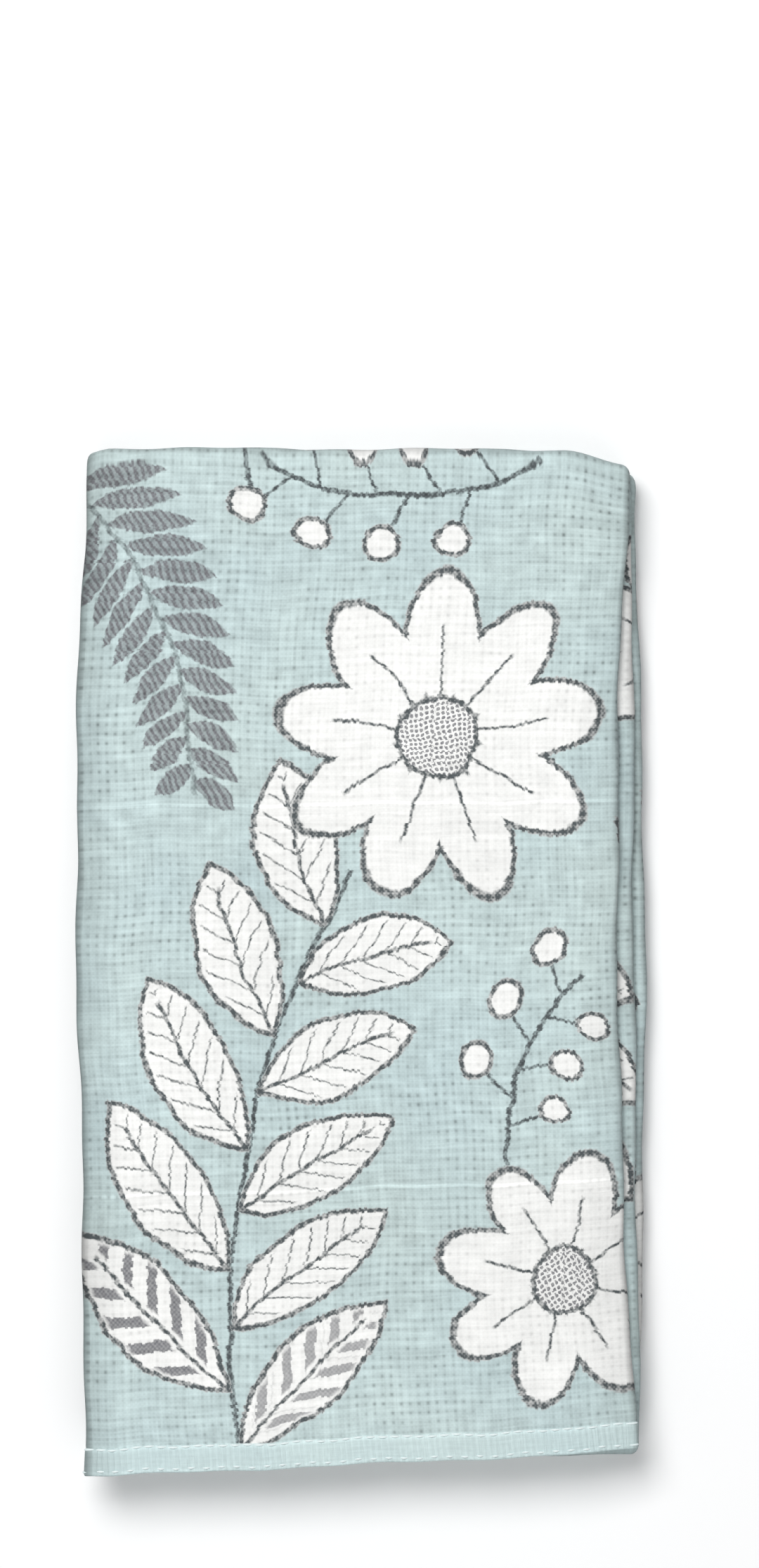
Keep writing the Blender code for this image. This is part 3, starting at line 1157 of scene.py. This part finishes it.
@dataclass
class Towel:
    """The folded cloth."""

    sheet: FoldedSheet
    face_step: float = 0.0017
    hidden_step: float = 0.0065
    roll_reach: float = 0.0170
    layer_step: float = 0.0052
    arc_steps: int = 9
    rows_in_hem: tuple[float, ...] = (0.0020, 0.0036)
    rim_start: float = 0.980
    rim_step: float = 0.005
    rim_height: float = 0.003

    def stations_across(self) -> np.ndarray:
        """Distances across the cloth where its surface is worked out, closest on the face and in and near folds."""
        knots = self.sheet.width_knots
        face = np.linspace(knots[2], knots[3], math.ceil((knots[3] - knots[2]) / self.face_step) + 1)
        left_fold = np.linspace(knots[1], knots[2], self.arc_steps + 1)[1:-1]
        right_fold = np.linspace(knots[3], knots[4], self.arc_steps + 4)[1:-1]
        tucked, back = self.hidden_ply(knots[0], knots[1]), self.hidden_ply(knots[4], knots[5])
        return np.concatenate([tucked, left_fold, face, right_fold, back])

    def hidden_ply(self, start: float, end: float) -> np.ndarray:
        """Distances across a hidden ply, close where the stack rolls off by its two ends and wide between."""
        near = np.arange(0.0, self.roll_reach, self.face_step)
        wide = np.arange(start + self.roll_reach, end - self.roll_reach, self.hidden_step)
        return np.concatenate([start + near, wide, (end - near)[::-1]])

    def stations_along(self) -> np.ndarray:
        """Distances along the cloth, closest on the front layer, in the folds and at the hems."""
        knots = self.sheet.length_knots
        counts = []
        for index in range(len(knots) - 1):
            step = self.face_step if index == 0 else self.layer_step
            counts.append(self.arc_steps if index % 2 else math.ceil((knots[index + 1] - knots[index]) / step))
        even = self.steps_between(knots, counts)
        hem = np.array([point.distance for point in self.sheet.hem_profile])
        near = self.sheet.hem_depth + 2.0 * self.sheet.seam_width
        inner = even[(even > near) & (even < knots[-1] - near)]
        ends = np.sort(np.concatenate([hem, self.rows_in_hem]))
        return np.concatenate([ends, inner, (knots[-1] - ends)[::-1]])

    @staticmethod
    def steps_between(knots: np.ndarray, counts: list[int]) -> np.ndarray:
        """Even steps between each two knots, by a count for each."""
        pieces = [np.linspace(a, b, n, endpoint=False) for a, b, n in zip(knots[:-1], knots[1:], counts)]
        return np.concatenate([*pieces, knots[-1:]])

    def build(self, material: bpy.types.Material) -> bpy.types.Object:
        """Makes the cloth as one thin closed sheet: two skins on the folds, and rims at its hems and woven edges.

        Args:
            material: the printed cloth.

        Returns:
            The cloth's object.
        """
        across, along = self.stations_across(), self.stations_along()
        columns, rows = len(across), len(along)
        flat_across, flat_along = (grid for grid in np.meshgrid(across, along, indexing="ij"))
        skins = [self.sheet.place(flat_across, flat_along, skin.value).reshape(-1, 3) for skin in Skin]
        faces = Build.grid_faces(columns, rows)
        count = columns * rows
        numbers = np.arange(count).reshape(columns, rows)
        rims = []
        for edge in (numbers[:, 0], numbers[-1, :], numbers[::-1, -1], numbers[0, ::-1]):
            rims.append(np.stack([edge[:-1], edge[:-1] + count, edge[1:] + count, edge[1:]], axis=-1))
        every = np.concatenate([faces, faces[:, ::-1] + count, *rims])
        made = Build.mesh("towel-cloth", np.concatenate(skins), every)
        mesh = made.data
        corners = np.empty(len(mesh.loops), dtype=np.int32)
        mesh.loops.foreach_get("vertex_index", corners)
        flat = np.stack([flat_across.ravel(), flat_along.ravel()], axis=-1)
        flat = np.concatenate([flat, flat])
        layer = mesh.uv_layers.new(name="cloth")
        layer.data.foreach_set("uv", flat[corners].astype(np.float32).ravel())
        shares = self.texture_shares(flat[corners].reshape(-1, 4, 2), len(faces), [len(rim) for rim in rims])
        mesh.uv_layers.new(name="OFBake").data.foreach_set("uv", shares.astype(np.float32).ravel())
        printed = mesh.attributes.new("printed", "FLOAT", "POINT")
        printed.data.foreach_set("value", np.repeat([1.0, 0.0], count).astype(np.float32))
        mesh.materials.append(material)
        return made

    def patches(self) -> tuple[Patch, ...]:
        """The cloth's parts and how much of the texture each gets: most goes to the front layer's face."""
        width, length = self.sheet.width_knots, self.sheet.length_knots
        left, right = float(width[1]), float(width[4])
        front, end = float(length[2]), float(length[-1])
        every = (0.0, end)
        return (
            Patch("front", Skin.PRINTED, (left, right), (0.0, front), (0.002, 0.0, 0.562, 0.975)),
            Patch("other layers", Skin.PRINTED, (left, right), (front, end), (0.568, 0.0, 0.790, 0.975)),
            Patch("tucked third", Skin.PRINTED, (0.0, left), every, (0.796, 0.0, 0.860, 0.975)),
            Patch("back third", Skin.PRINTED, (right, self.sheet.width), every, (0.866, 0.0, 0.930, 0.975)),
            Patch("reverse", Skin.REVERSE, (0.0, self.sheet.width), every, (0.936, 0.0, 0.998, 0.975)),
        )

    def texture_shares(self, flat: np.ndarray, per_skin: int, rims: list[int]) -> np.ndarray:
        """Lays the cloth's faces out on one square without overlaps.

        Each patch is stretched evenly over its rectangle, and each rim is a thin strip above them.

        Args:
            flat: for each face its four corners' distances across and along the cloth.
            per_skin: how many faces each skin has.
            rims: how many faces each rim has.

        Returns:
            For each face its four corners' places on the square.
        """
        shares = np.zeros_like(flat)
        middle = flat.mean(axis=1)
        skin = np.where(np.arange(len(flat)) < per_skin, Skin.PRINTED.value, Skin.REVERSE.value)
        for patch in self.patches():
            inside = (skin == patch.skin.value) & (middle[:, 0] > patch.across[0]) & (middle[:, 0] < patch.across[1])
            inside &= (middle[:, 1] > patch.along[0]) & (middle[:, 1] < patch.along[1])
            low = np.array([patch.across[0], patch.along[0]])
            high = np.array([patch.across[1], patch.along[1]])
            corner, far = np.array(patch.share[:2]), np.array(patch.share[2:])
            shares[inside] = corner + (flat[inside] - low) / (high - low) * (far - corner)
        start = 2 * per_skin
        for index, count in enumerate(rims):
            ahead = np.linspace(0.004, 0.996, count + 1)
            low = self.rim_start + self.rim_step * index
            strip = np.zeros((count, 4, 2))
            strip[:, :, 0] = np.stack([ahead[:-1], ahead[:-1], ahead[1:], ahead[1:]], axis=-1)
            strip[:, :, 1] = low + self.rim_height * np.array([0.0, 1.0, 1.0, 0.0])
            shares[start : start + count] = strip
            start += count
        return shares


class StitchRow(NamedTuple):
    """A row of stitches: its distance from the cloth's end, their length and spacing, and the thread's radius."""

    name: str
    distance: float
    stitch: float
    step: float
    thread: float


STITCH_ROWS = (
    StitchRow("seam", 0.0054, 0.0022, 0.0026, 0.00028),
    StitchRow("lip", 0.0009, 0.0016, 0.0032, 0.00027),
)


@dataclass
class Stitching:
    """The stitches along each hem's seam and its lip, sewn through the cloth's front."""

    sheet: FoldedSheet
    sides: int = 6
    rings: int = 5
    first: float = 0.0015
    sway: float = 0.00012
    sway_turn: float = 9100.0
    end_radius: float = 0.35
    rise: float = 0.9
    sunk: float = 0.35

    def row_points(self, row: StitchRow, from_rear: bool) -> np.ndarray:
        """The points of one row's stitches.

        Each stitch is a tube round a line along the hem. Its radius and its height off the cloth follow half a sine,
        so it rises out of the cloth and dips back into it, and the line is shifted a little from stitch to stitch.
        Under the towel the thread is pressed flat.

        Args:
            row: the row.
            from_rear: whether it is on the rear hem.

        Returns:
            Points by stitch, ring and side, with x, y and z last.
        """
        starts = np.arange(self.first, self.sheet.width - row.step, row.step)
        part = np.linspace(0.0, 1.0, self.rings)
        turn = np.linspace(0.0, math.tau, self.sides, endpoint=False)
        start, share, angle = np.meshgrid(starts, part, turn, indexing="ij")
        unsteady = self.sway * np.sin(start * self.sway_turn)
        bow = np.sin(share * math.pi)
        radius = row.thread * (self.end_radius + (1.0 - self.end_radius) * bow)
        distance = row.distance + unsteady + radius * np.cos(angle)
        along = self.sheet.length - distance if from_rear else distance
        across = start + share * row.stitch
        lift = 0.0001
        middle = self.sheet.place(across, along, Skin.PRINTED.value)
        normal = (self.sheet.place(across, along, Skin.PRINTED.value, lift) - middle) / lift
        height = row.thread * (self.rise * bow - self.sunk) + radius * np.sin(angle)
        placed = middle + normal * height[..., None]
        placed[..., 2] = np.maximum(placed[..., 2], 0.0)
        return placed

    def build(self, material: bpy.types.Material) -> bpy.types.Object:
        """Makes all rows on both hems.

        Args:
            material: the thread.

        Returns:
            All stitches as one object.
        """
        points, faces, count = [], [], 0
        for row in STITCH_ROWS:
            for from_rear in (False, True):
                made = self.row_points(row, from_rear)
                numbers = np.arange(made[..., 0].size).reshape(made.shape[:3]) + count
                ring = np.concatenate([numbers, numbers[:, :, :1]], axis=2)
                corners = [ring[:, :-1, :-1], ring[:, :-1, 1:], ring[:, 1:, 1:], ring[:, 1:, :-1]]
                if from_rear:
                    corners = corners[::-1]
                faces.append(np.stack(corners, axis=-1).reshape(-1, 4))
                points.append(made.reshape(-1, 3))
                count += made[..., 0].size
        stitches = Build.mesh("hem-stitches", np.concatenate(points), np.concatenate(faces))
        stitches.data.materials.append(material)
        return stitches


class Lamp(NamedTuple):
    """A square soft light that looks at the towel: its place, the length of its side, and its power."""

    name: str
    at: tuple[float, float, float]
    size: float
    power: float


LAMPS = (
    Lamp("key", (-0.26, 0.48, 1.02), 0.55, 10.4),
    Lamp("fill", (0.10, -0.62, 0.95), 0.90, 2.9),
)


@dataclass(frozen=True)
class Studio:
    """The floor, the light and the camera, with the place over the towel that the camera looks straight down on."""

    camera_height: float = 1.0
    sensor: float = 36.0
    view_x: float = 0.0037
    view_y: float = 0.0372
    floor_reach: float = 2.0
    floor_drop: float = 0.0002
    floor_colour: tuple[float, float, float, float] = (0.96, 0.96, 0.96, 1.0)
    floor_roughness: float = 0.8
    sky_colour: tuple[float, float, float, float] = (0.97, 0.985, 1.0, 1.0)
    sky_strength: float = 0.31

    @staticmethod
    def hang(lamp: Lamp) -> None:
        """Hangs a light and turns its beam towards the origin."""
        light = bpy.data.lights.new(lamp.name, "AREA")
        light.size = lamp.size
        light.energy = lamp.power
        made = bpy.data.objects.new(lamp.name, light)
        made.location = lamp.at
        x, y, z = lamp.at
        made.rotation_euler = (math.atan2(math.hypot(x, y), z), 0.0, math.atan2(x, -y))
        bpy.context.scene.collection.objects.link(made)

    def build(self, top: float) -> None:
        """Lays the floor, hangs the lights and sets the camera straight above the towel.

        Args:
            top: the towel's height.
        """
        span = np.array([-1.0, 1.0]) * self.floor_reach
        x, y = (grid.ravel() for grid in np.meshgrid(span, span, indexing="ij"))
        low = np.full_like(x, -self.floor_drop)
        floor = Build.mesh("floor", np.stack([x, y, low], axis=-1), Build.grid_faces(2, 2))
        floor.data.materials.append(plain_material("floor", self.floor_colour, self.floor_roughness))
        world = bpy.data.worlds.new("studio")
        world.use_nodes = True
        background = world.node_tree.nodes["Background"]
        background.inputs["Color"].default_value = self.sky_colour
        background.inputs["Strength"].default_value = self.sky_strength
        bpy.context.scene.world = world
        for lamp in LAMPS:
            self.hang(lamp)
        camera = bpy.data.cameras.new("camera")
        camera.sensor_width = self.sensor
        camera.lens = self.sensor * self.camera_height / (PHOTO_HEIGHT * PIXEL)
        made = bpy.data.objects.new("camera", camera)
        made.location = (self.view_x, self.view_y, top + self.camera_height)
        bpy.context.scene.collection.objects.link(made)
        bpy.context.scene.camera = made
        bpy.context.scene.view_settings.view_transform = "Standard"


def main() -> None:
    """Builds the towel and its studio."""
    logging.basicConfig(level=logging.INFO, format="%(name)s: %(message)s")
    bounds = [np.array(corner) for corner in CAD_BOX]
    sheet = FoldedSheet()

    cloth = Towel(sheet).build(PrintedCloth(sheet).finished())
    log.info("%s: %d faces", cloth.name, len(cloth.data.polygons))
    stitches = Stitching(sheet).build(plain_material("hem thread", Dyes().thread, Dyes().thread_roughness))
    log.info("%s: %d faces", stitches.name, len(stitches.data.polygons))
    for piece in (cloth, stitches):
        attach(piece, "root")
        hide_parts(TOWEL_NODE)
    sheet.length

    Studio().build(float(bounds[1][2]))
    log.info("box of the model: %s", CAD_BOX)


if __name__ == "__main__":
    main()
